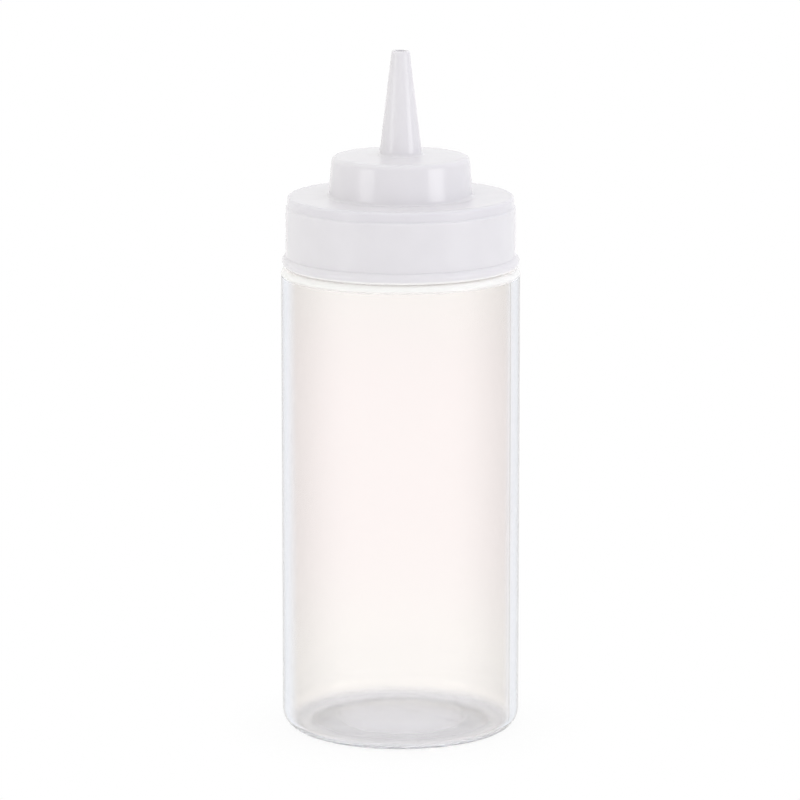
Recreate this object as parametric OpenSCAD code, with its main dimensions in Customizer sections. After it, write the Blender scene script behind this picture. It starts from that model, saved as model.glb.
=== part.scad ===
// Squeeze bottle for sauce, with a wide threaded neck and a screw cap that carries a cone nozzle.
// Millimetres. The bottle stands on z = 0, its axis is the Z axis and the nozzle points up.

/* [Bottle] */
// Outside diameter of the straight wall
body_d = 70; // [60:0.5:90]
// Height of the shoulder above the table
shoulder_z = 137.7; // [90:0.5:220]
// Thickness of the blown wall
wall_t = 1; // [0.8:0.1:1.6]
// Radius of the rounded edge round the base
base_edge_r = 5.5; // [4:0.5:9]
// Radius of the rounded edge of the shoulder
shoulder_edge_r = 1.5; // [1:0.25:2.5]
// Width of the flat ring that the bottle stands on
foot_w = 3; // [2:0.5:5]
// Height that the middle of the base is pushed up
punt_h = 3.5; // [2:0.5:6]

/* [Neck] */
// Height of the neck above the shoulder
neck_h = 18.7; // [17:0.1:24]
// Thickness of the neck wall under the thread
neck_t = 1.2; // [1:0.1:2]
// Radius of the hollow where the neck meets the shoulder
neck_fillet_r = 0.8; // [0.4:0.1:1.2]
// Radius of the outer edge of the rim
rim_edge_r = 0.3; // [0.15:0.05:0.45]

/* [Thread] */
// Rise of the cap in one turn
thread_pitch = 6; // [5:0.25:8]
// Turns of thread on the neck
neck_thread_turns = 1.5; // [1:0.25:1.75]
// Turns of thread inside the cap
cap_thread_turns = 1.25; // [1:0.25:1.75]
// How far each ridge stands out of its wall
thread_depth = 1.35; // [1:0.05:1.5]
// Width of a ridge at its wall
thread_root_w = 2.4; // [1.8:0.1:2.8]
// Width of a ridge at its crest
thread_crest_w = 0.9; // [0.5:0.1:1.2]
// Free space between a crest and the wall that it faces
crest_gap = 0.65; // [0.4:0.05:0.9]
// Free space between the two flanks that pull on each other
flank_gap = 0.2; // [0.1:0.05:0.4]

/* [Sealing washer] */
// Thickness of the washer between the rim and the cap
washer_t = 1; // [0.6:0.1:2]
// Free space on each face of the washer
washer_face_gap = 0.05; // [0.02:0.01:0.1]
// Free space between the washer and the cap wall
washer_side_gap = 0.05; // [0.02:0.01:0.1]

/* [Cap] */
// How far the skirt lies inside the bottle wall
skirt_inset = 1.35; // [1:0.05:2]
// Thickness of the skirt
skirt_t = 1.45; // [1.1:0.05:2]
// Free space between the cap foot and the shoulder
cap_foot_gap = 0.4; // [0.3:0.1:1.5]
// How far the bead at the foot of the skirt stands out
bead_out = 1.1; // [0.6:0.1:1.3]
// Radius of the bead
bead_r = 1.75; // [1.5:0.05:2.2]
// Thickness of the deck
deck_t = 1.5; // [1.2:0.1:2]
// Depth of the narrower band round the deck
band_h = 3.4; // [2:0.1:5]
// How far that band lies inside the skirt
band_inset = 0.55; // [0.3:0.05:0.9]
// Radius of the deck edge
deck_edge_r = 0.9; // [0.5:0.1:1.3]

/* [Hub] */
// Diameter of the raised hub where it meets the deck
hub_foot_d = 42.2; // [34:0.2:48]
// Height of the hub above the deck
hub_h = 11.6; // [7:0.1:16]
// How much the hub wall leans in
hub_draft = 5; // [1:0.5:10]
// Thickness of the hub wall and roof
hub_t = 1.3; // [1:0.1:1.8]
// Radius of the hub's upper edge
hub_edge_r = 1.5; // [0.8:0.1:2.2]
// Radius of the hollow round the hub foot
hub_fillet_r = 1; // [0.5:0.1:1.5]
// Rise of the hub roof from its edge to the nozzle
roof_rise = 0.6; // [0.2:0.1:1.2]

/* [Nozzle] */
// Diameter of the nozzle where it leaves the hub
nozzle_foot_d = 12.5; // [10:0.1:15]
// Diameter of the nozzle at its tip
nozzle_tip_d = 5.2; // [4.6:0.1:7]
// Length of the nozzle above the hub
nozzle_l = 30.3; // [18:0.1:45]
// Radius of the hollow round the nozzle foot
nozzle_fillet_r = 1; // [0.5:0.1:1.6]
// Radius of the outer edge of the tip
tip_edge_r = 0.4; // [0.2:0.05:0.5]
// Diameter of the outlet
outlet_d = 3; // [2:0.1:3.4]
// Length of the straight part of the outlet
outlet_l = 3; // [1.5:0.5:6]
// Thickness of the nozzle wall at its foot
nozzle_t = 1.3; // [1:0.1:1.8]

/* [Hidden] */

// Facets of a preview circle, and steps of a thread in one turn
circle_steps = 180;
thread_steps = 60;
// Angle over which a thread rises to its full depth
thread_lead = 45;
// Share of its depth that a thread starts and ends with
thread_end_share = 0.25;
// Depth that a ridge reaches into its wall
ridge_root_in = 0.4;
// Overlap where shapes join or cut through
join = 0.5;
// Least radius of a blown inner corner
blown_corner_r = 0.3;

// Radii, from the bottle wall inwards to the neck
body_r = body_d / 2;
skirt_r = body_r - skirt_inset;
band_r = skirt_r - band_inset;
cap_bore_r = skirt_r - skirt_t;
neck_crest_r = cap_bore_r - crest_gap;
neck_r = neck_crest_r - thread_depth;
cap_crest_r = cap_bore_r - thread_depth;
neck_bore_r = neck_r - neck_t;
washer_r = cap_bore_r - washer_side_gap;

// Heights, from the table up to the tip
rim_z = shoulder_z + neck_h;
washer_z = rim_z + washer_face_gap;
roof_z = washer_z + washer_t + washer_face_gap;
deck_z = roof_z + deck_t;
hub_z = deck_z + hub_h;
nozzle_z = hub_z + roof_rise;
tip_z = nozzle_z + nozzle_l;
cap_foot_z = shoulder_z + cap_foot_gap;
band_z = deck_z - band_h;

// Domed base and the shoulder's inner corner
punt_r = body_r - base_edge_r - foot_w;
dome_r = (punt_r ^ 2 + punt_h ^ 2) / (2 * punt_h);
shoulder_inner_r = max(blown_corner_r, shoulder_edge_r - wall_t);

// Hub and nozzle radii
hub_foot_r = hub_foot_d / 2;
hub_top_r = hub_foot_r - hub_h * tan(hub_draft);
nozzle_foot_r = nozzle_foot_d / 2;
nozzle_tip_r = nozzle_tip_d / 2;
outlet_r = outlet_d / 2;

// Thread heights: the cap's ridge pulls on the underside of the neck's ridge
ridge_slope = (thread_root_w - thread_crest_w) / 2 / (thread_depth + ridge_root_in);
flank_step = thread_root_w - ridge_slope * (cap_bore_r - neck_r + 2 * ridge_root_in) + flank_gap;
neck_thread_z = shoulder_z + (neck_h - neck_thread_turns * thread_pitch) / 2;
cap_thread_z = neck_thread_z - flank_step;

// Angle between a leaning wall and the vertical, from its foot and top radii and its height
function lean(foot_r, top_r, h) = atan((foot_r - top_r) / h);
// Radius of a leaning wall at height z above its foot
function wall_at(foot_r, top_r, h, z) = foot_r + (top_r - foot_r) * z / h;

// Outline of a round step with a leaning wall, from height z up, with its upper edge rounded
module leaning_step(foot_r, top_r, z, h, edge_r) {
  a = lean(foot_r, top_r, h);
  cz = h - edge_r;
  cr = wall_at(foot_r, top_r, h, cz) - edge_r / cos(a);
  translate([0, z]) {
    polygon([
      [0, -join], [foot_r, -join], [foot_r, 0],
      [cr + edge_r * cos(a), cz + edge_r * sin(a)],
      [cr, cz], [cr, h], [0, h]
    ]);
    translate([cr, cz]) circle(edge_r);
  }
}

// Outline of the hollow round the foot of such a step
module foot_hollow(foot_r, top_r, z, h, r) {
  a = lean(foot_r, top_r, h);
  cr = wall_at(foot_r, top_r, h, r) + r / cos(a);
  translate([0, z]) difference() {
    polygon([
      [foot_r - join, -join], [cr, -join], [cr, 0],
      [cr - r * cos(a), r - r * sin(a)], [foot_r - join, r - r * sin(a)]
    ]);
    translate([cr, r]) circle(r);
  }
}

// A ridge that climbs round the Z axis, from root_r to crest_r, and fades in and out at its ends
module climbing_ridge(root_r, crest_r, turns, z) {
  outward = crest_r > root_r ? 1 : -1;
  in_r = root_r - outward * ridge_root_in;
  last = ceil(turns * thread_steps);
  function fade(i) = min(1, thread_end_share + min(i, last - i) * 360 / thread_steps / thread_lead);
  function crest(i) = root_r + (crest_r - root_r) * fade(i);
  function section(i) = [
    [in_r, -thread_root_w / 2], [crest(i), -thread_crest_w / 2],
    [crest(i), thread_crest_w / 2], [in_r, thread_root_w / 2]
  ];
  function ring(i) = [
    for (p = section(i))
      [p[0] * cos(i * 360 / thread_steps), p[0] * sin(i * 360 / thread_steps),
       p[1] + z + thread_pitch * i / thread_steps]
  ];
  points = [for (i = [0:last]) each ring(i)];
  side = outward > 0 ? [3, 2, 1, 0] : [0, 1, 2, 3];
  function at(i, k) = 4 * i + side[k % 4];
  walls = [
    for (i = [0:last - 1], k = [0:3])
      each [[at(i, k), at(i + 1, k), at(i + 1, k + 1)], [at(i, k), at(i + 1, k + 1), at(i, k + 1)]]
  ];
  ends = [
    [at(0, 0), at(0, 1), at(0, 2)], [at(0, 0), at(0, 2), at(0, 3)],
    [at(last, 2), at(last, 1), at(last, 0)], [at(last, 3), at(last, 2), at(last, 0)]
  ];
  polyhedron(points, concat(walls, ends));
}

// Outline of a round vessel from height low_z to high_z, with its lower and upper edges rounded
module vessel(r, low_z, high_z, low_edge_r, high_edge_r) {
  translate([0, low_z]) square([r - low_edge_r, high_z - high_edge_r - low_z]);
  translate([0, low_z + low_edge_r]) square([r, high_z - high_edge_r - low_z - low_edge_r]);
  translate([0, low_z + low_edge_r]) square([r - high_edge_r, high_z - low_z - low_edge_r]);
  translate([r - low_edge_r, low_z + low_edge_r]) circle(low_edge_r);
  translate([r - high_edge_r, high_z - high_edge_r]) circle(high_edge_r);
}

// Outer outline of the bottle, before the dome under its base is taken away
module bottle_outside() {
  vessel(body_r, 0, shoulder_z, base_edge_r, shoulder_edge_r);
  square([neck_r, rim_z - rim_edge_r]);
  translate([neck_r - rim_edge_r, rim_z - rim_edge_r]) circle(rim_edge_r);
  square([neck_r - rim_edge_r, rim_z]);
  foot_hollow(neck_r, neck_r, shoulder_z, neck_h, neck_fillet_r);
}

// Outline of the space inside the bottle, above its domed floor
module bottle_inside() {
  difference() {
    union() {
      vessel(body_r - wall_t, wall_t, shoulder_z - wall_t, base_edge_r - wall_t, shoulder_inner_r);
      translate([0, wall_t]) square([neck_bore_r, rim_z]);
    }
    translate([0, punt_h - dome_r]) circle(dome_r + wall_t);
  }
}

// Blown bottle: one thin wall with a domed base, a flat shoulder and a threaded neck
module bottle() {
  color([0.97, 0.95, 0.93]) {
    rotate_extrude($fn = circle_steps) difference() {
      bottle_outside();
      translate([0, punt_h - dome_r]) circle(dome_r);
      bottle_inside();
    }
    climbing_ridge(neck_r, neck_crest_r, neck_thread_turns, neck_thread_z);
  }
}

// Soft flat ring that closes the gap between the neck rim and the cap
module sealing_washer() {
  color([0.86, 0.86, 0.84])
    translate([0, 0, washer_z]) difference() {
      cylinder(r = washer_r, h = washer_t, $fn = circle_steps);
      translate([0, 0, -join]) cylinder(r = neck_bore_r, h = washer_t + 2 * join, $fn = circle_steps);
    }
}

// Outline of the skirt, its foot bead, the narrower band and the deck
module skirt_outside() {
  translate([0, cap_foot_z]) square([skirt_r, band_z - cap_foot_z]);
  translate([skirt_r + bead_out - bead_r, cap_foot_z + bead_r]) circle(bead_r);
  edge_z = deck_z - deck_edge_r;
  polygon([
    [0, band_z - join], [skirt_r, band_z - join], [skirt_r, band_z],
    [band_r, band_z + band_inset], [band_r, edge_z], [0, edge_z]
  ]);
  translate([band_r - deck_edge_r, edge_z]) circle(deck_edge_r);
  translate([0, cap_foot_z]) square([band_r - deck_edge_r, deck_z - cap_foot_z]);
}

// Outline of the hub and the cone nozzle on the deck
module spout_outside() {
  leaning_step(hub_foot_r, hub_top_r, deck_z, hub_h, hub_edge_r);
  foot_hollow(hub_foot_r, hub_top_r, deck_z, hub_h, hub_fillet_r);
  polygon([
    [0, hub_z - join], [hub_top_r - hub_edge_r, hub_z - join], [hub_top_r - hub_edge_r, hub_z],
    [nozzle_foot_r, nozzle_z], [0, nozzle_z]
  ]);
  leaning_step(nozzle_foot_r, nozzle_tip_r, nozzle_z, nozzle_l, tip_edge_r);
  foot_hollow(nozzle_foot_r, nozzle_tip_r, nozzle_z, nozzle_l, nozzle_fillet_r);
}

// Outline of the space inside the cap, from its open foot to the outlet
module cap_inside() {
  translate([0, cap_foot_z - join]) square([cap_bore_r, roof_z - cap_foot_z + join]);
  polygon([
    [0, roof_z - join], [hub_foot_r - hub_t, roof_z - join], [hub_foot_r - hub_t, roof_z],
    [hub_top_r - hub_t, hub_z - hub_t], [0, hub_z - hub_t]
  ]);
  polygon([
    [0, hub_z - hub_t - join], [nozzle_foot_r - nozzle_t, hub_z - hub_t - join],
    [outlet_r, tip_z - outlet_l], [outlet_r, tip_z + join], [0, tip_z + join]
  ]);
}

// Screw cap: skirt, deck, hub and nozzle in one moulding, with a thread inside the skirt
module screw_cap() {
  color([0.89, 0.89, 0.90]) {
    rotate_extrude($fn = circle_steps) difference() {
      union() {
        skirt_outside();
        spout_outside();
      }
      cap_inside();
    }
    climbing_ridge(cap_bore_r, cap_crest_r, cap_thread_turns, cap_thread_z);
  }
}

bottle();
sealing_washer();
screw_cap();
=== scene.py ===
# %% [markdown]
# # A squeeze bottle, from its frame to its finish
#
# The real object is two plastic parts and a soft washer: a thin blown bottle with a wide threaded
# neck, and a moulded cap with a skirt, a deck, a hub and a cone nozzle. Every one of them is round,
# so each is made as a lathe would make it: half of its section is drawn once and spun round the
# axis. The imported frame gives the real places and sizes, in metres, and nothing here moves them.

# %% Load the frame
import math

import bpy
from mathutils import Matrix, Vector


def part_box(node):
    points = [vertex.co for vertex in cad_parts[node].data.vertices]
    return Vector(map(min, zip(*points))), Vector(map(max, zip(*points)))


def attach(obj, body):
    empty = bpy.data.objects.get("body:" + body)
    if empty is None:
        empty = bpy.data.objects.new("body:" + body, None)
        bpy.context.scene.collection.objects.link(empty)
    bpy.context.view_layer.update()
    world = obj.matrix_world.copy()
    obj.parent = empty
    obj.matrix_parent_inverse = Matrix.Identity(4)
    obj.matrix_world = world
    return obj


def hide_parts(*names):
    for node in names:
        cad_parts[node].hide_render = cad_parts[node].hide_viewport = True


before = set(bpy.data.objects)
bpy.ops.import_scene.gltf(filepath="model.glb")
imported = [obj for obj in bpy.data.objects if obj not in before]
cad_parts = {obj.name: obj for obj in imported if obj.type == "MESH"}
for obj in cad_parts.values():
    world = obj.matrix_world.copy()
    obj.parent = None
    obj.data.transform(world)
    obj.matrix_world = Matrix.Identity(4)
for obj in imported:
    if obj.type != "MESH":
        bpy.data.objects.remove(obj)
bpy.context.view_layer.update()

# %% [markdown]
# ## The sizes that everything follows
#
# The outer sizes are read from the frame's own boxes. What a box can't tell, such as a wall or a
# rounding, is a named value here, as a moulder would write it, in millimetres times MM.

# %% Sizes from the frame
MM = 0.001
_, bottle_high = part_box("bottle")
cap_low, cap_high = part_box("screw_cap")
washer_low, washer_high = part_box("sealing_washer")
body_r = bottle_high.x
rim_z = bottle_high.z
cap_foot_z = cap_low.z
cap_bead_r = cap_high.x
tip_z = cap_high.z
print("body radius", round(body_r, 5), "rim", round(rim_z, 5), "tip", round(tip_z, 5))

# %% Sizes of the bottle
wall = 1 * MM
neck_h = 18.7 * MM
neck_wall = 1.2 * MM
shoulder_z = rim_z - neck_h
base_round = 5.5 * MM
shoulder_round = 1.5 * MM
foot_w = 3 * MM
punt_h = 3.5 * MM
neck_r = 30.2 * MM
print("shoulder", round(shoulder_z, 5), "neck", round(neck_h, 5), "high")

# %% Sizes of the cap
cap_bore_r = 32.2 * MM
skirt_r = 33.65 * MM
band_r = 33.1 * MM
bead_round = 1.75 * MM
roof_z = washer_high.z + 0.05 * MM
deck_z = roof_z + 1.5 * MM
band_z = deck_z - 3.4 * MM
hub_foot_r = 21.1 * MM
hub_z = deck_z + 11.6 * MM
hub_draft = math.radians(5)
hub_top_r = hub_foot_r - (hub_z - deck_z) * math.tan(hub_draft)
hub_wall = 1.3 * MM
nozzle_z = hub_z + 0.6 * MM
nozzle_foot_r = 6.25 * MM
nozzle_tip_r = 2.6 * MM
outlet_r = 1.5 * MM
outlet_l = 3 * MM
print("deck", round(deck_z, 5), "hub", round(hub_z, 5))

# %% Sizes of the thread
pitch = 6 * MM
ridge_depth = 1.35 * MM
ridge_root_w = 2.4 * MM
ridge_crest_w = 0.9 * MM
ridge_sink = 0.4 * MM
neck_turns = 1.5
cap_turns = 1.25
neck_thread_z = shoulder_z + (neck_h - neck_turns * pitch) / 2
thread_drop = 1.4 * MM
cap_thread_z = neck_thread_z - thread_drop
print("the neck's thread starts at", round(neck_thread_z, 5))

# %% [markdown]
# ## Helpers for turned parts
#
# A section could be typed in as a long list of points. It is shorter and easier to change as a few
# corners, each with its own rounding: the function below puts the arc into each corner. It also
# holds each straight stretch with a point close to the arc, so that the smooth shading of the arc
# doesn't spread over the flat wall next to it.

# %% Round the corners of a section
ARC_STEP = math.radians(11)
HOLD = 0.35 * MM


def rounded(corners, closed=False):
    """Turns corners (radius, height, rounding) into points, with an arc at each rounded corner."""
    points = []
    count = len(corners)
    for i, (r, z, rounding) in enumerate(corners):
        here = Vector((r, z))
        if rounding == 0 or (not closed and i in (0, count - 1)):
            points.append(here)
            continue
        before = Vector(corners[i - 1][:2]) - here
        after = Vector(corners[(i + 1) % count][:2]) - here
        half = before.angle(after) / 2
        reach = rounding / math.tan(half)
        start = here + before.normalized() * reach
        end = here + after.normalized() * reach
        inward = (before.normalized() + after.normalized()).normalized()
        middle = here + inward * rounding / math.sin(half)
        turn = math.pi - 2 * half
        steps = max(2, math.ceil(turn / ARC_STEP))
        if before.length > reach + 2 * HOLD:
            points.append(start + before.normalized() * HOLD)
        a, b = start - middle, end - middle
        for k in range(steps + 1):
            share = k / steps
            from_start = a * math.sin((1 - share) * turn)
            from_end = b * math.sin(share * turn)
            points.append(middle + (from_start + from_end) / math.sin(turn))
        if after.length > reach + 2 * HOLD:
            points.append(end + after.normalized() * HOLD)
    return points


def arc(r, z, radius, start, end, steps):
    """Corners without rounding along an arc round (r, z), from one angle to the other in degrees."""
    angles = [math.radians(start + (end - start) * i / steps) for i in range(steps + 1)]
    return [(r + radius * math.cos(a), z + radius * math.sin(a), 0) for a in angles]


# %% [markdown]
# ## Drawing and spinning a section
#
# A section starts as a small plane whose corners are merged into one point. Extruding that point
# again and again draws the outline, and Spin turns it round the Z axis. The points that meet on
# the axis or at the end of the turn are merged, and then the normals are made to face outwards.

# %% Spin a section round the axis
SPIN_STEPS = 256
MERGE = 0.002 * MM


def only(piece):
    """Leaves edit mode and makes this piece the only one that an operator acts on."""
    if bpy.context.mode != "OBJECT":
        bpy.ops.object.mode_set(mode="OBJECT")
    bpy.ops.object.select_all(action="DESELECT")
    piece.select_set(True)
    bpy.context.view_layer.objects.active = piece


def draw_section(name, points, closed):
    """Merges a small plane to one vertex and extrudes it from point to point in the XZ plane."""
    bpy.ops.object.select_all(action="DESELECT")
    bpy.ops.mesh.primitive_plane_add(size=MM)
    piece = bpy.context.object
    piece.name = piece.data.name = name
    bpy.ops.object.mode_set(mode="EDIT")
    bpy.ops.mesh.merge(type="CENTER")
    bpy.ops.transform.translate(value=(points[0].x, 0, points[0].y))
    route = [*points, points[0]] if closed else points
    for here, there in zip(route, route[1:]):
        step = there - here
        bpy.ops.mesh.extrude_region_move(TRANSFORM_OT_translate={"value": (step.x, 0, step.y)})
    bpy.ops.mesh.select_all(action="SELECT")
    bpy.ops.mesh.remove_doubles(threshold=MERGE)
    return piece


def spin(piece):
    """Spins the section in edit mode into a closed shell with its faces outwards."""
    bpy.ops.mesh.select_all(action="SELECT")
    bpy.ops.mesh.spin(steps=SPIN_STEPS, angle=2 * math.pi, center=(0, 0, 0), axis=(0, 0, 1))
    bpy.ops.mesh.select_all(action="SELECT")
    bpy.ops.mesh.remove_doubles(threshold=MERGE)
    bpy.ops.mesh.normals_make_consistent(inside=False)
    bpy.ops.object.mode_set(mode="OBJECT")
    print(piece.name, "has", len(piece.data.polygons), "faces after the spin")
    return piece

# %% [markdown]
# ## The blown bottle
#
# The bottle is one skin of soft polyethylene. A single skin with a Solidify modifier would give it
# an even wall, but not its own floor and rim. So the section runs from the middle of the domed base
# round the foot, up the wall, over the shoulder and the rim, and back down on the inside, and light
# passes through a wall of real thickness. The wall is drawn in short stretches, so that no face is
# a sliver as long as the bottle.

# %% Rows of points for the dome and the walls
WALL_ROWS = 24
DOME_STEPS = 8
dome_foot_r = body_r - base_round - foot_w
dome_r = (dome_foot_r ** 2 + punt_h ** 2) / (2 * punt_h)
print("the dome's radius is", round(dome_r, 5))


def dome(radius, last_r):
    """Corners along the dome over the base's middle, from the axis out to last_r."""
    end = 90 - math.degrees(math.asin(last_r / radius))
    return arc(0, punt_h - dome_r, radius, 90, end, DOME_STEPS)[:-1]


def wall_rows(r, low, high):
    """Corners up a straight wall, evenly spaced."""
    return [(r, low + (high - low) * i / WALL_ROWS, 0) for i in range(1, WALL_ROWS)]


# %% Draw and spin the bottle
inner_r = body_r - wall
neck_bore_r = neck_r - neck_wall
floor_r = math.sqrt((dome_r + wall) ** 2 - (wall - punt_h + dome_r) ** 2)
# each corner is its radius, its height and its rounding
outside = [
    *dome(dome_r, dome_foot_r), (dome_foot_r, 0, 2 * MM), (body_r, 0, base_round),
    *wall_rows(body_r, base_round, shoulder_z - shoulder_round),
    (body_r, shoulder_z, shoulder_round), (neck_r, shoulder_z, 0.8 * MM),
    (neck_r, rim_z, 0.3 * MM), (neck_bore_r, rim_z, 0.25 * MM)]
inside = [
    *dome(dome_r + wall, floor_r), (floor_r, wall, 2 * MM), (inner_r, wall, base_round - wall),
    *wall_rows(inner_r, base_round, shoulder_z - shoulder_round),
    (inner_r, shoulder_z - wall, 0.5 * MM), (neck_bore_r, shoulder_z - wall, 0.8 * MM)]
bottle = spin(draw_section("blown_bottle", rounded(outside + inside[::-1]), closed=False))

# %% [markdown]
# A blown bottle shows where the two halves of its mould met. A fine raised line runs up both sides,
# and a short pinched ridge crosses the base where the mould closed on the soft tube. Three cuts with
# bisect give each line its two edges and its crest, and the crest is then moved out a little.

# %% Raise the parting line and the pinched ridge
SEAM_AZIMUTH = math.radians(66.7)
SEAM_HALF_W = 0.3 * MM
SEAM_H = 0.05 * MM
PINCH_R = 21 * MM
PINCH_H = 0.25 * MM
PINCH_FADE = 3 * MM
SAME_PLACE = 0.01 * MM
CLOSE = 0.1 * MM
DOME_CLEAR = 0.2 * MM
FOOT_CLEAR = 0.5 * MM
RIM_CLEAR = 1 * MM
OUTWARDS = 0.3
UPWARDS = 0.5
seam_along = Vector((math.sin(SEAM_AZIMUTH), -math.cos(SEAM_AZIMUTH), 0))
seam_across = Vector((0, 0, 1)).cross(seam_along)


def cut(piece, offset):
    """Cuts new edges where the plane along the seam, moved by offset, meets the piece."""
    only(piece)
    bpy.ops.object.mode_set(mode="EDIT")
    bpy.ops.mesh.select_all(action="SELECT")
    bpy.ops.mesh.bisect(plane_co=seam_across * offset, plane_no=seam_across)
    bpy.ops.object.mode_set(mode="OBJECT")


def on_wall(v):
    """Tells whether a point lies on the outside of the body or the neck."""
    from_axis = Vector((v.co.x, v.co.y, 0)).normalized()
    r = math.hypot(v.co.x, v.co.y)
    return v.normal.dot(from_axis) > OUTWARDS and v.co.z > FOOT_CLEAR and r > neck_r - CLOSE


def on_shoulder(v):
    """Tells whether a point lies on top of the shoulder."""
    return v.normal.z > UPWARDS and shoulder_z - CLOSE < v.co.z < rim_z - RIM_CLEAR


for offset in (-SEAM_HALF_W, 0, SEAM_HALF_W):
    cut(bottle, offset)
raised = 0
for v in bottle.data.vertices:
    if abs(v.co.dot(seam_across)) > SAME_PLACE:
        continue
    r = math.hypot(v.co.x, v.co.y)
    if on_wall(v) or on_shoulder(v):
        v.co += v.normal * SEAM_H
        raised += 1
    elif v.normal.z < -UPWARDS and v.co.z > DOME_CLEAR and r < PINCH_R:
        v.co.z -= PINCH_H * min(1, (PINCH_R - r) / PINCH_FADE)
        raised += 1
print("points raised along the parting line:", raised)

# %% [markdown]
# ## The threads
#
# A thread is a ridge that climbs round the wall at a steady rate. Bending an array along a curve
# could make it, but the Screw modifier is the plain way: it sweeps a four-cornered section round
# the axis and lifts it by one pitch in each turn. The ridge then runs out at both ends, as a moulded
# one does, and a Boolean joins it to the wall so that the plastic is one body.

# %% Sweep a ridge and let it run out
RIDGE_STEPS = 72
RUN_OUT = math.radians(45)
END_SHARE = 0.25


def run_out(ridge, root_r, crest_r, corners):
    """Lowers the crest of the ridge towards both of its ends."""
    last = len(ridge.data.vertices) // corners - 1
    for i, v in enumerate(ridge.data.vertices):
        ring = i // corners
        along = min(ring, last - ring) / RIDGE_STEPS * 2 * math.pi
        share = min(1, END_SHARE + along / RUN_OUT)
        r = math.hypot(v.co.x, v.co.y)
        if abs(r - crest_r) < SAME_PLACE:
            new_r = root_r + (crest_r - root_r) * share
            v.co.x *= new_r / r
            v.co.y *= new_r / r


def close_ends(ridge):
    """Puts a face on each open end and turns all faces outwards."""
    only(ridge)
    bpy.ops.object.mode_set(mode="EDIT")
    bpy.ops.mesh.select_all(action="DESELECT")
    bpy.ops.mesh.select_non_manifold()
    bpy.ops.mesh.edge_face_add()
    bpy.ops.mesh.select_all(action="SELECT")
    bpy.ops.mesh.normals_make_consistent(inside=False)
    bpy.ops.object.mode_set(mode="OBJECT")


def thread_ridge(name, root_r, crest_r, turns, z):
    """A ridge from root_r to crest_r that climbs for some turns from height z on the +X side."""
    sink = math.copysign(ridge_sink, root_r - crest_r)
    section = [Vector((root_r + sink, z - ridge_root_w / 2)), Vector((crest_r, z - ridge_crest_w / 2)),
               Vector((crest_r, z + ridge_crest_w / 2)), Vector((root_r + sink, z + ridge_root_w / 2))]
    ridge = draw_section(name, section, closed=True)
    only(ridge)
    bpy.ops.object.modifier_add(type="SCREW")
    screw = ridge.modifiers[-1]
    screw.angle = 2 * math.pi * turns
    screw.screw_offset = pitch * turns
    screw.steps = screw.render_steps = round(RIDGE_STEPS * turns)
    screw.use_merge_vertices = False
    bpy.ops.object.modifier_apply(modifier=screw.name)
    run_out(ridge, root_r, crest_r, len(section))
    close_ends(ridge)
    return ridge


# %% Join the ridge to the neck
def join_ridge(piece, ridge):
    """Joins the ridge to the piece with a Boolean and deletes what is left of it."""
    only(piece)
    bpy.ops.object.modifier_add(type="BOOLEAN")
    union = piece.modifiers[-1]
    union.operation = "UNION"
    union.solver = "MANIFOLD"
    union.object = ridge
    bpy.ops.object.modifier_apply(modifier=union.name)
    bpy.data.objects.remove(ridge)
    print(piece.name, "has", len(piece.data.polygons), "faces with its thread")


neck_ridge = thread_ridge("neck_ridge", neck_r, neck_r + ridge_depth, neck_turns, neck_thread_z)
join_ridge(bottle, neck_ridge)

# %% [markdown]
# ## The moulded cap
#
# The cap is moulded in one piece. It could be put together from cones and cylinders with Booleans,
# but one closed section gives every rounding and the hollow inside in a single spin: up the outside
# from the foot bead over the skirt, the narrower band, the deck, the hub and the nozzle, through the
# outlet and down again on the inside.

# %% Draw and spin the cap
BEAD_STEPS = 14
bead_z = cap_foot_z + bead_round
bead_top = math.degrees(math.acos((skirt_r - cap_bead_r + bead_round) / bead_round))
band_step = skirt_r - band_r
# each corner is its radius, its height and its rounding
cap_section = [
    (cap_bore_r, cap_foot_z, 0.3 * MM),
    *arc(cap_bead_r - bead_round, bead_z, bead_round, -90, bead_top, BEAD_STEPS),
    (skirt_r, band_z, 0.2 * MM), (band_r, band_z + band_step, 0.2 * MM), (band_r, deck_z, 0.9 * MM),
    (hub_foot_r, deck_z, 1 * MM), (hub_top_r, hub_z, 1.5 * MM),
    (nozzle_foot_r, nozzle_z, 1 * MM), (nozzle_tip_r, tip_z, 0.4 * MM), (outlet_r, tip_z, 0.2 * MM),
    (outlet_r, tip_z - outlet_l, 2 * MM), (nozzle_foot_r - hub_wall, hub_z - hub_wall, 1 * MM),
    (hub_top_r - hub_wall, hub_z - hub_wall, 0.8 * MM), (hub_foot_r - hub_wall, roof_z, 0.4 * MM),
    (cap_bore_r, roof_z, 0.4 * MM)]
cap = spin(draw_section("moulded_cap", rounded(cap_section, closed=True), closed=True))
cap_ridge = thread_ridge("cap_ridge", cap_bore_r, cap_bore_r - ridge_depth, cap_turns, cap_thread_z)
join_ridge(cap, cap_ridge)

# %% [markdown]
# ## The sealing washer
#
# A flat ring of foamed liner lies between the rim and the roof of the cap. It is cut from sheet, so
# its edges are only a little rounded. A primitive ring would have no rounding at all, so it is spun
# from a section like its neighbours.

# %% Draw and spin the washer
cut_edge = 0.15 * MM
washer_section = [
    (neck_bore_r, washer_low.z, cut_edge), (washer_high.x, washer_low.z, cut_edge),
    (washer_high.x, washer_high.z, cut_edge), (neck_bore_r, washer_high.z, cut_edge)]
washer = spin(draw_section("liner_washer", rounded(washer_section, closed=True), closed=True))

# %% [markdown]
# ## Smooth shading, and each piece on its body
#
# Shading smooth by angle keeps the real edges crisp and hides the facets of the spin. Each piece
# then rides on the body that its CAD node is on, and takes the place of that node.

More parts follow.
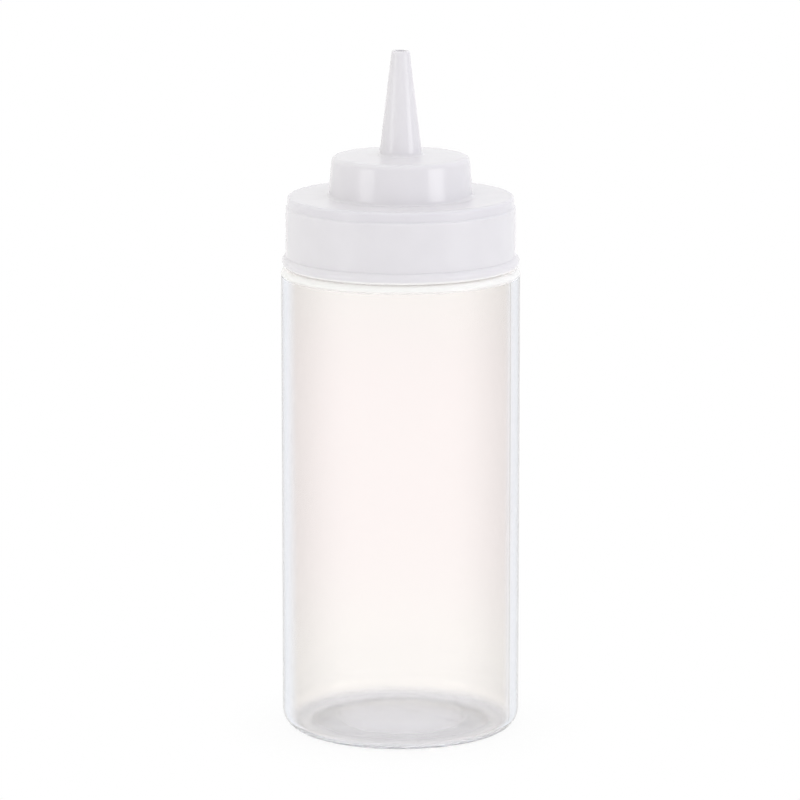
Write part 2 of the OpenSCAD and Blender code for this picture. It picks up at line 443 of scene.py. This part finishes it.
# %% Smooth the pieces and put them on their bodies
SMOOTH_BELOW = math.radians(32)
for piece, body, node, slot in (
        (bottle, "bottle", "bottle", "bottle_plastic"),
        (washer, "washer", "sealing_washer", "washer_foam"),
        (cap, "cap", "screw_cap", "cap_plastic")):
    only(piece)
    bpy.ops.object.shade_smooth_by_angle(angle=SMOOTH_BELOW)
    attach(piece, body)
    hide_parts(node)
    print(piece.name, "rides on", body, "with the slot", slot)

# %% [markdown]
# ## Shader maths that reads like arithmetic
#
# A material's pattern is a sum of textures. Wiring each Math node by hand hides the sum, so a small
# class stands for a socket and turns +, - and * into the nodes. Every other node comes from one
# method that takes its type, its settings and what goes into its sockets.

# %% A socket that can be used in a sum
class Sum:
    """A socket of a finish, with the signs that the sums below use."""

    def __init__(self, finish, socket):
        self.finish, self.socket = finish, socket

    def maths(self, operation, first, second):
        """A Math node on two sockets or numbers."""
        return self.finish.node("ShaderNodeMath", {"operation": operation}, {0: first, 1: second})

    def __add__(self, other):
        return self.maths("ADD", self, other)

    def __sub__(self, other):
        return self.maths("SUBTRACT", self, other)

    def __rsub__(self, other):
        return self.maths("SUBTRACT", other, self)

    def __mul__(self, other):
        return self.maths("MULTIPLY", self, other)

    __radd__ = __add__
    __rmul__ = __mul__


# %% A finish that adds its own nodes
class Finish:
    """A material or a world with its node tree, and methods that add the nodes used here."""

    def __init__(self, name, data=None):
        if data is None:
            data = bpy.data.materials.new(name)
            data.use_nodes = True
        self.data = data
        self.tree = data.node_tree
        self.tree.nodes.clear()

    def node(self, kind, settings=None, inputs=None, output=0):
        """Adds a node, sets it up, fills its sockets with values or links, and gives one output."""
        made = self.tree.nodes.new(kind)
        for name, value in (settings or {}).items():
            setattr(made, name, value)
        for name, value in (inputs or {}).items():
            if isinstance(value, Sum):
                self.tree.links.new(value.socket, made.inputs[name])
            else:
                made.inputs[name].default_value = value
        return Sum(self, made.outputs[output]) if made.outputs else None

    def blend(self, share, first, second):
        """The first colour where share is 0, the second where it is 1, and a mix between."""
        return self.node("ShaderNodeMix", {"data_type": "RGBA"}, {0: share, 6: first, 7: second}, 2)

    def ramp(self, value, start, end):
        """A smooth rise from 0 where value is start to 1 where it is end."""
        return self.node("ShaderNodeMapRange", {"interpolation_type": "SMOOTHSTEP"}, {
            "Value": value, "From Min": start, "From Max": end, "To Min": 0.0, "To Max": 1.0})

    def noise(self, place, size, detail=2.0):
        """Soft random values round 0.5, with spots of about this size."""
        inputs = {"Vector": place, "Scale": 1 / size, "Detail": detail}
        return self.node("ShaderNodeTexNoise", {}, inputs)

    def bump(self, pattern, depth):
        """The normal of a surface that the pattern raises by up to depth."""
        return self.node("ShaderNodeBump", {}, {"Height": pattern, "Strength": 1.0, "Distance": depth})

    def scaled(self, place, scale):
        """The place, stretched or squeezed along each axis."""
        return self.node("ShaderNodeVectorMath", {"operation": "MULTIPLY"}, {0: place, 1: scale})

    def length(self, place):
        """How far the place is from the origin."""
        return self.node("ShaderNodeVectorMath", {"operation": "LENGTH"}, {0: place}, "Value")

    def along(self, axis, place):
        """How far the place lies along the X, Y or Z axis."""
        return self.node("ShaderNodeSeparateXYZ", {}, {0: place}, axis)

    def looked_at(self):
        """1 for rays that look at something, straight or by gloss or glass, and 0 for rays of light."""
        rays = [self.node("ShaderNodeLightPath", output=name)
                for name in ("Is Camera Ray", "Is Glossy Ray", "Is Transmission Ray")]
        total = rays[0] + rays[1] + rays[2]
        return self.node("ShaderNodeMath", {"operation": "MINIMUM"}, {0: total, 1: 1.0})

    def give(self, piece):
        """Makes this the piece's only finish."""
        piece.data.materials.clear()
        piece.data.materials.append(self.data)
        print(piece.name, "has the finish", self.data.name, "with", len(self.tree.nodes), "nodes")


# %% Colours as a screen shows them
BLACK = (0, 0, 0, 1)
WHITE = (1, 1, 1, 1)


def colour(red, green, blue):
    """A screen colour, 0 to 255, in the linear values that shaders use, by the standard curve."""
    shares = [c / 255 for c in (red, green, blue)]
    return (*[c / 12.92 if c <= 0.04045 else ((c + 0.055) / 1.055) ** 2.4 for c in shares], 1)


print("a mid grey of 128 is", round(colour(128, 128, 128)[0], 4), "for a shader")

# %% [markdown]
# ## The bottle's plastic
#
# Blown polyethylene is a thin, nearly clear wall. It is cool and faintly milky round the foot,
# milky at the shoulder, where the plastic is thick, and partly clear at the neck. One shader can't
# be all of these, so several are mixed, and masks say where each one shows. A mask could be
# painted by hand, but a smooth ramp of the height, or of the distance from the axis, fits a round
# bottle exactly and can be changed with one number.

# %% Masks of the bottle's zones
FOOT_Z = (3.6 * MM, 1.2 * MM)
FOOT_SPOT = 25 * MM
FOOT_DRIFT = 1 * MM
DOME_R = (33 * MM, 29 * MM)
DOME_Z = (12 * MM, 8 * MM)
NECK_Z = (shoulder_z + 0.2 * MM, shoulder_z + 1 * MM)
SHOULDER_Z = (shoulder_z - 2.4 * MM, shoulder_z - 1.2 * MM)
LEDGE_R = (cap_bore_r + 2.2 * MM, cap_bore_r + 0.8 * MM)


def bottle_zones(finish, place, height, r):
    """The masks of the foot, the whole base, the neck, the shoulder and the ledge under the cap."""
    drift = finish.noise(place, FOOT_SPOT) * FOOT_DRIFT
    foot = finish.ramp(height + drift, *FOOT_Z)
    over_dome = finish.ramp(r, *DOME_R) * finish.ramp(height, *DOME_Z)
    base = finish.node("ShaderNodeMath", {"operation": "MAXIMUM"}, {0: foot, 1: over_dome})
    neck = finish.ramp(height, *NECK_Z)
    shoulder = finish.ramp(height, *SHOULDER_Z) * (1 - neck)
    ledge = finish.ramp(r, *LEDGE_R) * shoulder
    return foot, base, neck, shoulder, ledge


# %% [markdown]
# Where the eye looks along the wall, near the bottle's sides, it looks through more plastic, and
# the haze and the gloss grow. The haze is tinted grey, so the darker band it gives at the sides is
# painted shade as well as haze, and a little more of it towards the top is painted shade under the
# cap. Layer Weight gives that slant: its Facing value is 0 where the surface faces the eye and 1
# where it is seen edge on. The haze stays under a quarter of the mix: past that, the renderer's
# noise filter reads the surface in another way, and a line shows there.

# %% Haze and painted shade, and gloss, at a slant
# share of the grey haze at the sides, which is haze and also painted shade
SIDE_HAZE_AND_SHADE = 0.16
SIDE_SLANT = (0.05, 0.52)
# the grey haze grows towards the top: painted shade under the cap
TOP_PAINTED_SHADE = 0.025
TOP_PAINTED_SHADE_Z = (90 * MM, shoulder_z)
RIM_GLOSS = 0.7
GLOSS_COMES = (0.5, 0.7)
GLOSS_GOES = (0.96, 0.74)


def slant_shares(finish, height, outside, base, shoulder):
    """The shares of the grey haze, which is also painted shade at the sides and the top, and of the
    gloss, both only on the outside of the wall.
    """
    slant = finish.node("ShaderNodeLayerWeight", {}, {"Blend": 0.5}, "Facing")
    # the grey haze at a slant darkens the sides: painted shade as well as haze
    slant_haze_shade = finish.ramp(slant, *SIDE_SLANT) * SIDE_HAZE_AND_SHADE * (1 - shoulder) * (1 - base)
    # painted shade: the top of the body darkened under the cap
    high = finish.ramp(height, *TOP_PAINTED_SHADE_Z) * TOP_PAINTED_SHADE
    rim = finish.ramp(slant, *GLOSS_COMES) * finish.ramp(slant, *GLOSS_GOES)
    return (slant_haze_shade + high) * outside, rim * RIM_GLOSS * outside


# %% [markdown]
# The clear shader bends light a little less than solid plastic does, which keeps the dark edges of
# the wall faint. A blown wall is never quite even, so a soft noise makes it wavy and a second one,
# drawn out along the height, gives it faint streaks. The milk scatters light inside itself. Under
# the cap's foot the real ledge is lit through two plastic walls. That would take a renderer too
# long, so the hidden ledge gives off a little light of its own instead.

# %% Tints of the bottle
WALL_TINT = colour(255, 253, 251)
BLUSH_TINT = colour(255, 251, 250)
BASE_TINT = colour(248, 249, 255)
# the haze is grey so that it darkens the sides and the top: painted shade
GREY_HAZE_SHADE_TINT = colour(156, 150, 147)
GLOSS_TINT = colour(246, 249, 255)
MILK_TINT = colour(250, 246, 244)
BASE_MILK_TINT = colour(244, 248, 255)
GLOW_TINT = colour(255, 252, 250)
print("the haze's tint is", [round(c, 3) for c in GREY_HAZE_SHADE_TINT])

# %% Blown polyethylene
PLASTIC_IOR = 1.5
CLEAR_IOR = 1.35
CLEAR_ROUGH = 0.1
INSIDE_ROUGHER = 0.05
HAZE_ROUGH = 0.2
HAZE_UNEVEN = 0.08
GLOSS_ROUGH = 0.2
MILK_ROUGH = 0.25
MILK_DEPTH = 2 * MM
ALL_COLOURS_ALIKE = (1.0, 1.0, 1.0)
BASE_MILK = 0.15
SHOULDER_MILK = 0.95
NECK_MILK = 0.35
SHOULDER_GLOW = 0.24
WAVE_SIZE = 9 * MM
WAVE_DEPTH = 0.015 * MM
STREAK_SIZE = 1.6 * MM
STREAK_STRETCH = (1, 1, 0.02)
STREAK_SHARE = 0.12
BLUSH_FOOT_Z = (15 * MM, 60 * MM)
BLUSH_TOP_Z = (145 * MM, 105 * MM)


def blown_plastic():
    """Clear plastic with gloss and a grey haze, partly painted shade, at a slant, and milk at the foot,
    the shoulder and the neck.
    """
    finish = Finish("blown_polyethylene")
    place = finish.node("ShaderNodeTexCoord", output="Object")
    height = finish.along("Z", place)
    r = finish.length(finish.scaled(place, (1, 1, 0)))
    inside = finish.node("ShaderNodeMath", {"operation": "LESS_THAN"}, {0: r, 1: body_r - wall / 2})
    foot, base, neck, shoulder, ledge = bottle_zones(finish, place, height, r)
    haze_and_shade_share, gloss_share = slant_shares(finish, height, 1 - inside, base, shoulder)
    waves = finish.noise(place, WAVE_SIZE)
    streaks = finish.noise(finish.scaled(place, STREAK_STRETCH), STREAK_SIZE, 1.0)
    uneven = finish.bump(waves + streaks * STREAK_SHARE, WAVE_DEPTH)
    blush = finish.ramp(height, *BLUSH_FOOT_Z) * finish.ramp(height, *BLUSH_TOP_Z)
    wall_tint = finish.blend(blush, WALL_TINT, BLUSH_TINT)
    clear = finish.node("ShaderNodeBsdfPrincipled", {}, {
        "Base Color": finish.blend(base, wall_tint, BASE_TINT),
        "Roughness": inside * INSIDE_ROUGHER + CLEAR_ROUGH,
        "IOR": CLEAR_IOR, "Transmission Weight": 1.0, "Normal": uneven})
    # the grey haze shader, which paints shade wherever it is mixed in
    haze = finish.node("ShaderNodeBsdfPrincipled", {}, {
        "Base Color": GREY_HAZE_SHADE_TINT, "Roughness": waves * HAZE_UNEVEN + HAZE_ROUGH,
        "IOR": PLASTIC_IOR, "Normal": uneven})
    gloss = finish.node("ShaderNodeBsdfGlossy", {}, {"Color": GLOSS_TINT, "Roughness": GLOSS_ROUGH})
    milk = finish.node("ShaderNodeBsdfPrincipled", {}, {
        "Base Color": finish.blend(base, MILK_TINT, BASE_MILK_TINT),
        "Roughness": MILK_ROUGH, "IOR": PLASTIC_IOR, "Subsurface Weight": 1.0,
        "Subsurface Radius": ALL_COLOURS_ALIKE, "Subsurface Scale": MILK_DEPTH,
        "Emission Color": finish.blend(ledge, BLACK, GLOW_TINT),
        "Emission Strength": SHOULDER_GLOW})
    hazy = finish.node("ShaderNodeMixShader", {}, {0: haze_and_shade_share, 1: clear, 2: haze})
    glossy = finish.node("ShaderNodeMixShader", {}, {0: gloss_share, 1: hazy, 2: gloss})
    milk_share = foot * BASE_MILK + shoulder * SHOULDER_MILK + neck * NECK_MILK
    whole = finish.node("ShaderNodeMixShader", {}, {0: milk_share, 1: glossy, 2: milk})
    finish.node("ShaderNodeOutputMaterial", {}, {"Surface": whole})
    return finish


blown_plastic().give(bottle)

# %% [markdown]
# ## The cap's plastic
#
# The cap is the same kind of plastic, but thick enough to be white. Light goes a short way into it
# and softens its edges, which a little subsurface scattering shows. A moulding isn't quite even: it
# sinks by a hair as it cools and keeps the fine grain of the steel. One plain white would look like
# paint, so a soft and a fine noise vary its colour, roughness and surface. The thin foot of the
# skirt lets light through, and that light is painted on as a paler colour: painted light. The
# rounded edge of the deck is painted one even tone, a little darker than the paler sinks: painted
# shade that tones down its bright edge.

# %% Tints of the cap
CAP_TINT = colour(226, 224, 228)
SUNK_TINT = colour(231, 229, 233)
# the deck's rounded edge: one even tone, darker than the sinks, as painted shade
DECK_EDGE_SHADE_TINT = colour(226, 224, 229)
# the foot's paler colour is painted light, for the light that shines through it
THIN_FOOT_PAINTED_LIGHT_TINT = colour(253, 252, 253)
print("the cap's tint is", [round(c, 3) for c in CAP_TINT])

# %% Moulded polyethylene
CAP_ROUGH = 0.13
CAP_UNEVEN = 0.06
CAP_DEPTH = 0.25 * MM
SINK_SIZE = 7 * MM
GRAIN_SIZE = 0.5 * MM
GRAIN_DETAIL = 3.0
GRAIN_SHARE = 0.05
SINK_DEPTH = 0.03 * MM
# where the painted light on the skirt's foot shows
PAINTED_LIGHT_FOOT_Z = (cap_foot_z + 1.2 * MM, cap_foot_z + 0.3 * MM)
# where the painted shade on the deck's rounded edge shows
DECK_EDGE_SHADE_Z = (band_z - 0.5 * MM, band_z + 1 * MM)
DECK_EDGE_SHADE_R = (band_r - 2.5 * MM, band_r - 0.5 * MM)


def moulded_plastic():
    """White plastic with soft sinks, a fine grain, a foot painted paler as painted light, and painted
    shade on the deck's edge.
    """
    finish = Finish("moulded_polyethylene")
    place = finish.node("ShaderNodeTexCoord", output="Object")
    height = finish.along("Z", place)
    r = finish.length(finish.scaled(place, (1, 1, 0)))
    sink = finish.noise(place, SINK_SIZE)
    grain = finish.noise(place, GRAIN_SIZE, GRAIN_DETAIL)
    # painted light: the thin foot of the skirt painted paler
    painted_light_foot = finish.ramp(height, *PAINTED_LIGHT_FOOT_Z)
    # painted shade: the deck's rounded edge kept even and a little darker
    deck_edge_shade = finish.ramp(height, *DECK_EDGE_SHADE_Z) * finish.ramp(r, *DECK_EDGE_SHADE_R)
    plain = finish.blend(sink, CAP_TINT, SUNK_TINT)
    plain = finish.blend(deck_edge_shade, plain, DECK_EDGE_SHADE_TINT)
    shader = finish.node("ShaderNodeBsdfPrincipled", {}, {
        "Base Color": finish.blend(painted_light_foot, plain, THIN_FOOT_PAINTED_LIGHT_TINT),
        "Roughness": grain * CAP_UNEVEN + sink * CAP_UNEVEN + CAP_ROUGH,
        "IOR": PLASTIC_IOR, "Subsurface Weight": 1.0,
        "Subsurface Radius": ALL_COLOURS_ALIKE, "Subsurface Scale": CAP_DEPTH,
        "Normal": finish.bump(sink + grain * GRAIN_SHARE, SINK_DEPTH)})
    finish.node("ShaderNodeOutputMaterial", {}, {"Surface": shader})
    return finish


moulded_plastic().give(cap)

# %% [markdown]
# ## The washer's foam
#
# Liner sheet is foamed, so its face is dull and full of tiny closed cells. A Voronoi texture is
# made of such cells and drives the roughness and the bump, and a soft noise clouds the white.

# %% Foamed liner
CELL_SIZE = 0.35 * MM
CELL_DEPTH = 0.05 * MM
CLOUD_SIZE = 4 * MM
FOAM_ROUGH = 0.7
FOAM_UNEVEN = 0.15
FOAM_TINT = colour(232, 232, 229)
CLOUD_TINT = colour(242, 242, 240)


def liner_foam():
    """Dull white foam with fine cells."""
    finish = Finish("liner_foam")
    place = finish.node("ShaderNodeTexCoord", output="Object")
    cells = finish.node("ShaderNodeTexVoronoi", {}, {"Vector": place, "Scale": 1 / CELL_SIZE})
    cloud = finish.noise(place, CLOUD_SIZE)
    shader = finish.node("ShaderNodeBsdfPrincipled", {}, {
        "Base Color": finish.blend(cloud, FOAM_TINT, CLOUD_TINT),
        "Roughness": cells * FOAM_UNEVEN + FOAM_ROUGH,
        "IOR": PLASTIC_IOR, "Normal": finish.bump(cells, CELL_DEPTH)})
    finish.node("ShaderNodeOutputMaterial", {}, {"Surface": shader})
    return finish


liner_foam().give(washer)

# %% [markdown]
# ## The floor
#
# The bottle stands on a white floor with a faint shadow. A floor that is only lit would come out
# grey, and more light would burn out the cap. So the rays that look at the floor see plain white,
# which Light Path tells apart, and the rays that bring light from it meet a pale lit floor. Under
# the base and close round it a share of the lit floor still shows, and with it the shadow. From
# below the floor is clear, so that the base can be looked at.

# %% Floor
FLOOR_R = 2.5
FLOOR_POINTS = 96
UNDER_SHADE = 0.25
UNDER_R = body_r - 5 * MM
UNDER_FADE = 10 * MM
ROUND_SHADE = 0.07
ROUND_R = body_r + 25 * MM
FLOOR_TINT = colour(250, 250, 250)


def floor_finish():
    """A pale floor under the light, white where it is looked at, and clear from below."""
    finish = Finish("pale_floor")
    lit = finish.node("ShaderNodeBsdfDiffuse", {}, {"Color": FLOOR_TINT})
    white = finish.node("ShaderNodeEmission", {}, {"Color": WHITE, "Strength": 1.0})
    reach = finish.length(finish.node("ShaderNodeTexCoord", output="Object"))
    under = finish.ramp(reach, UNDER_R, UNDER_R - UNDER_FADE) * UNDER_SHADE
    around = finish.ramp(reach, ROUND_R, body_r) * ROUND_SHADE
    white_share = finish.looked_at() * (1 - (under + around))
    above = finish.node("ShaderNodeMixShader", {}, {0: white_share, 1: lit, 2: white})
    below = finish.node("ShaderNodeNewGeometry", output="Backfacing")
    clear = finish.node("ShaderNodeBsdfTransparent")
    both = finish.node("ShaderNodeMixShader", {}, {0: below, 1: above, 2: clear})
    finish.node("ShaderNodeOutputMaterial", {}, {"Surface": both})
    return finish


bpy.ops.object.select_all(action="DESELECT")
bpy.ops.mesh.primitive_circle_add(
    vertices=FLOOR_POINTS, radius=FLOOR_R, fill_type="NGON", location=(0, 0, 0))
floor = bpy.context.object
floor.name = "floor"
floor_finish().give(floor)
print("the floor reaches", FLOOR_R, "m from the bottle")

# %% [markdown]
# ## The light
#
# Most of the light comes evenly from the world, as from a white tent. It is a little stronger from
# above than from the sides, warmer from the left and cooler from the right, so that round forms
# show as round. What looks at the world sees plain white, as with the floor.

# %% World
SIDE_LIGHT = 0.76
FRONT_LIGHT = 0.06
TOP_LIGHT = 0.43
LEFT_TINT = (0.92, 0.915, 0.865, 1)
RIGHT_TINT = (1.0, 1.01, 1.045, 1)
world = bpy.data.worlds.new("studio")
bpy.context.scene.world = world
world.use_nodes = True
sky = Finish("studio", world)
way = sky.node("ShaderNodeTexCoord", output="Generated")
soft_light = SIDE_LIGHT + sky.along("Z", way) * TOP_LIGHT - sky.along("Y", way) * FRONT_LIGHT
tint = sky.blend(sky.along("X", way) * 0.5 + 0.5, LEFT_TINT, RIGHT_TINT)
seen = sky.looked_at()
tent = sky.node("ShaderNodeBackground", {}, {
    "Color": sky.blend(seen, tint, WHITE), "Strength": seen * (1 - soft_light) + soft_light})
sky.node("ShaderNodeOutputWorld", {}, {"Surface": tent})
print("the world has", len(sky.tree.nodes), "nodes")

# %% [markdown]
# Two area lamps put the narrow highlights on the hub and the nozzle. They stand low and are short,
# because the flat deck would mirror a tall lamp as a burnt-out patch in the view from behind.

# %% Lamps
LAMP_DISTANCE = 1.2
LAMP_Z = 0.16
LAMP_TALL = 0.28
AIM_Z = 0.11


def softbox(name, azimuth, width, power):
    """An area lamp at an azimuth in degrees from the camera's side, turned to the bottle."""
    a = math.radians(azimuth)
    place = Vector((math.sin(a) * LAMP_DISTANCE, -math.cos(a) * LAMP_DISTANCE, LAMP_Z))
    bpy.ops.object.light_add(type="AREA", location=place)
    lamp = bpy.context.object
    lamp.name = name
    lamp.data.shape = "RECTANGLE"
    lamp.data.size, lamp.data.size_y = width, LAMP_TALL
    lamp.data.energy = power
    aim = Vector((0, 0, AIM_Z)) - place
    lamp.rotation_euler = aim.to_track_quat("-Z", "Y").to_euler()
    print(name, "stands at", [round(v, 3) for v in place], "with", power, "watts")


softbox("left_softbox", -57, 0.55, 1.0)
softbox("right_softbox", 60, 0.6, 1.5)

# %% [markdown]
# ## The camera
#
# A long lens from far away keeps the bottle's sides nearly parallel. How round the deck and the
# base look gives the camera's height and tilt, and how fast the bottle narrows downwards gives its
# distance. The values were fitted together until every edge fell on its place.

# %% Camera
VIEW_DISTANCE = 1.4838
VIEW_HEIGHT = 0.39135
VIEW_DOWN = math.radians(11.18)
VIEW_LEFT = 0.00018
LENS = 231.34
SENSOR_W = 36
CLIP_NEAR = 0.05
CLIP_FAR = 20
bpy.ops.object.camera_add(location=(-VIEW_LEFT, -VIEW_DISTANCE, VIEW_HEIGHT),
                          rotation=(math.pi / 2 - VIEW_DOWN, 0, 0))
camera = bpy.context.object
camera.name = "camera"
camera.data.sensor_width = SENSOR_W
camera.data.lens = LENS
camera.data.clip_start, camera.data.clip_end = CLIP_NEAR, CLIP_FAR
bpy.context.scene.camera = camera
print("the camera's lens is", round(camera.data.lens, 2), "mm")

# %% [markdown]
# ## The look settings
#
# The Standard view shows a colour about as it is written.

# %% Look settings
bpy.context.scene.view_settings.view_transform = "Standard"
